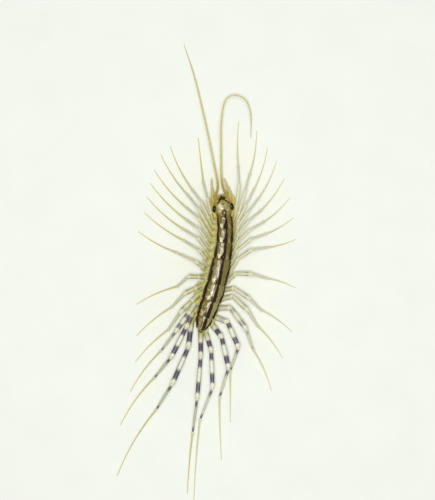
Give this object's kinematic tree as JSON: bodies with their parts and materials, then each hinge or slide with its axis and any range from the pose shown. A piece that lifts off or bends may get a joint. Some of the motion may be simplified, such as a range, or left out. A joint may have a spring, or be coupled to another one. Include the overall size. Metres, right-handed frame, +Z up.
{
  "type": "house centipede",
  "caption": "Life-size still model of a house centipede standing on a flat floor, with striped back plates, banded legs and long feelers.",
  "frame": {"origin": "on the floor under the middle of the whole animal's box, feelers and last feet included", "axes": "+Z up from the floor, +Y ahead of the head along the body, +X to the animal's right"},
  "size_m": [0.0368, 0.0945, 0.0088],
  "materials": {
    "shell_plate": "smooth shell, satin to glossy, olive with dark brown stripes along it",
    "trunk": "soft side skin, satin, pale yellow",
    "head": "smooth shell, glossy, olive brown with dark lines",
    "eye": "finely faceted, glossy, nearly black",
    "feeler": "fine rings, satin, golden yellow",
    "mouthpart": "smooth, satin, golden brown with fine bristles",
    "leg": "thin shell, satin and slightly see-through, pale olive with dark bands on the rear legs"
  },
  "bodies": {
    "root": {"head": "head", "eye_left": "eye", "eye_right": "eye", "antenna_left": "feeler", "antenna_right": "feeler", "palp_left": "mouthpart", "palp_right": "mouthpart", "forcipule_left": "mouthpart", "forcipule_right": "mouthpart", "tergite_1": "shell_plate", "tergite_2": "shell_plate", "tergite_3": "shell_plate", "tergite_4": "shell_plate", "tergite_5": "shell_plate", "tergite_6": "shell_plate", "tergite_7": "shell_plate", "tergite_8": "shell_plate", "trunk_front": "trunk", "trunk_middle": "trunk", "trunk_rear": "trunk", "trunk_tail": "trunk", "leg_left_01": "leg", "leg_left_02": "leg", "leg_left_03": "leg", "leg_left_04": "leg", "leg_left_05": "leg", "leg_left_06": "leg", "leg_left_07": "leg", "leg_left_08": "leg", "leg_left_09": "leg", "leg_left_10": "leg", "leg_left_11": "leg", "leg_left_12": "leg", "leg_left_13": "leg", "leg_left_14": "leg", "leg_left_15": "leg", "leg_right_01": "leg", "leg_right_02": "leg", "leg_right_03": "leg", "leg_right_04": "leg", "leg_right_05": "leg", "leg_right_06": "leg", "leg_right_07": "leg", "leg_right_08": "leg", "leg_right_09": "leg", "leg_right_10": "leg", "leg_right_11": "leg", "leg_right_12": "leg", "leg_right_13": "leg", "leg_right_14": "leg", "leg_right_15": "leg"}
  },
  "joints": []
}
